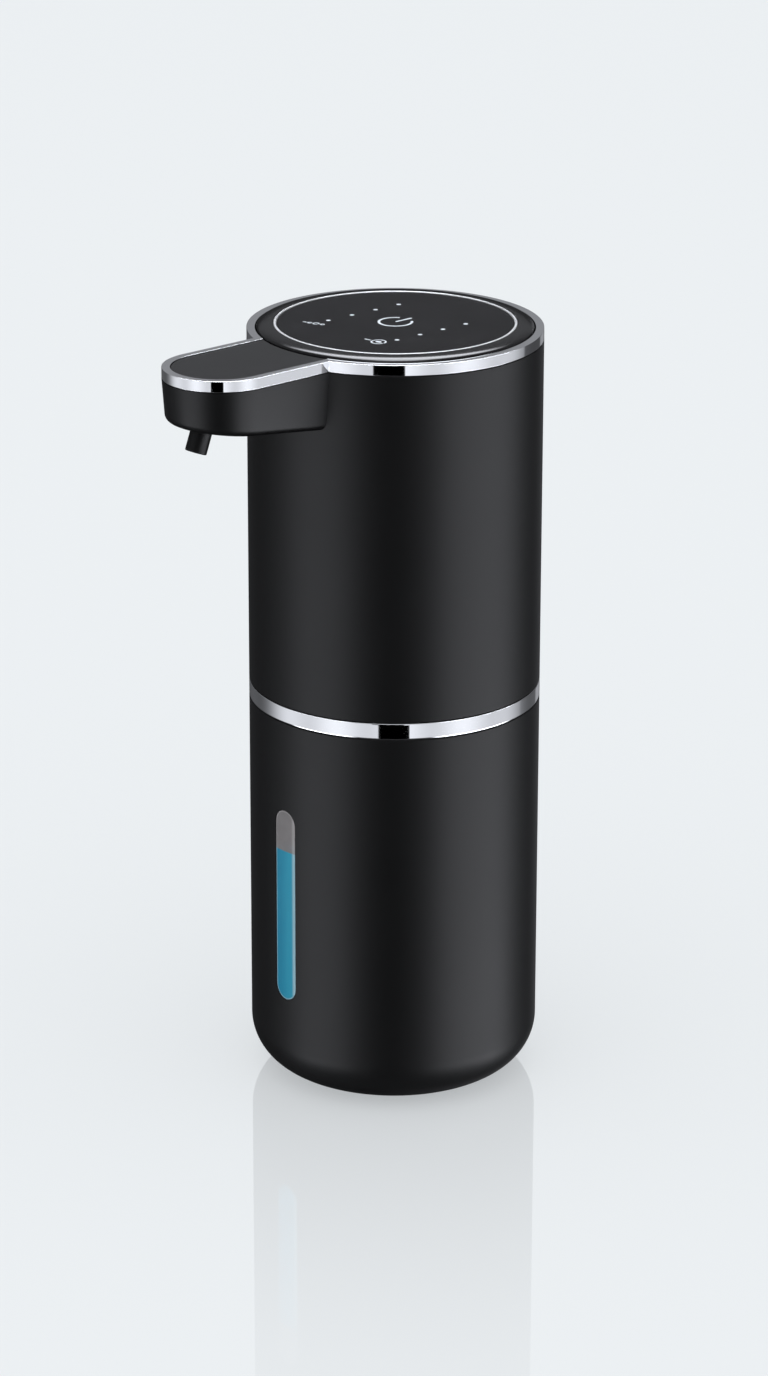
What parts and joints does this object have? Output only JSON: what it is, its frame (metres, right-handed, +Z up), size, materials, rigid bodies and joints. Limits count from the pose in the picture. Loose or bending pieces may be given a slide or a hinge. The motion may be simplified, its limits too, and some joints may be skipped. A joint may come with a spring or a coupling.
{
  "type": "automatic soap dispenser",
  "caption": "Free-standing automatic liquid soap dispenser: upright cylindrical bottle with a sight window and a screw-off pump head with spout, touch panel and geared pump",
  "frame": {"origin": "centre of the flat lower face of the foot pad, on the axis of the barrel", "axes": "+Z up along the barrel, the spout points to -Y, the charging inlet faces +Y, +X to the right seen from the spout's back"},
  "size_m": [0.071, 0.1033, 0.1906],
  "materials": {
    "satin_black": "satin moulded plastic",
    "deck_black": "fine matt moulded plastic",
    "gloss_black": "polished black plastic",
    "panel_glass": "dark smoked touch panel",
    "bright_chrome": "bright plating",
    "clear_window": "clear moulded insert",
    "silicone_black": "soft black silicone",
    "silicone_clear": "milky silicone",
    "nylon_white": "natural moulded nylon",
    "nylon_grey": "grey moulded nylon",
    "steel": "plain steel",
    "board_green": "green circuit board",
    "cell_wrap": "blue film over the metal can of the cell",
    "wire_red": "red insulation",
    "wire_black": "black insulation",
    "wire_grey": "grey insulation"
  },
  "bodies": {
    "bottle": {"bottle_shell": "satin_black", "sight_window": "clear_window", "foot_pad": "silicone_black"},
    "seal": {"neck_seal": "silicone_clear"},
    "head": {"base_deck": "nylon_grey", "deck_screw_1": "steel", "deck_screw_2": "steel", "deck_screw_3": "steel", "mid_trim_ring": "bright_chrome", "upper_housing": "satin_black", "top_trim_ring": "bright_chrome", "spout_cover": "deck_black", "panel_bezel": "gloss_black", "accent_ring": "bright_chrome", "touch_panel": "panel_glass", "nozzle": "gloss_black", "outlet_hose": "silicone_clear", "ir_window": "gloss_black", "ir_sensor_board": "board_green", "control_board": "board_green", "board_connector": "nylon_white", "board_screw_1": "steel", "board_screw_2": "steel", "board_screw_3": "steel", "light_mask": "nylon_grey", "touch_spring": "steel", "chassis_frame": "nylon_white", "chassis_screw_1": "steel", "chassis_screw_2": "steel", "battery_strap": "steel", "motor_strap": "steel", "battery_cell": "cell_wrap", "motor_can": "steel", "motor_end_cap": "nylon_white", "idler_pin": "steel", "pump_body": "nylon_grey", "pump_gasket": "silicone_black", "pump_cover": "nylon_grey", "shaft_seal": "silicone_black", "pump_screw_1": "steel", "pump_screw_2": "steel", "pump_screw_3": "steel", "pump_screw_4": "steel", "valve_cage": "nylon_white", "suction_tube": "silicone_clear", "tube_strainer": "nylon_white", "charge_board": "board_green", "charge_socket": "steel", "battery_lead_red": "wire_red", "battery_lead_black": "wire_black", "motor_cable": "wire_grey", "charge_cable": "wire_black", "sensor_cable": "wire_grey"},
    "drive": {"motor_shaft": "steel", "drive_gear": "nylon_white"},
    "idler": {"idler_gear": "nylon_white"},
    "ball": {"valve_ball": "steel"},
    "flap": {"port_cover": "silicone_black"}
  },
  "joints": [
    {"name": "head_twist", "type": "hinge", "parent": "bottle", "child": "seal", "pos_m": [0, 0, 0.11], "axis": [0, 0, 1], "range_deg": [0, 60]},
    {"name": "head_lift", "type": "slide", "parent": "seal", "child": "head", "axis": [0, 0, 1], "range_m": [0, 0.125]},
    {"name": "motor_spin", "type": "hinge", "parent": "head", "child": "drive", "pos_m": [0, -0.00805, 0.12175], "axis": [0, 0, 1], "continuous": true},
    {"name": "idler_spin", "type": "hinge", "parent": "head", "child": "idler", "pos_m": [0.0108, -0.00805, 0.12175], "axis": [0, 0, 1], "continuous": true},
    {"name": "valve_ball_lift", "type": "slide", "parent": "head", "child": "ball", "axis": [0, 0, 1], "range_m": [0, 0.0012]},
    {"name": "port_cover_hinge", "type": "hinge", "parent": "head", "child": "flap", "pos_m": [0, 0.0355, 0.1213], "axis": [-1, 0, 0], "range_deg": [0, 100]}
  ],
  "couplings": [
    {"joint": "idler_spin", "follows": "motor_spin", "ratio": -1}
  ]
}
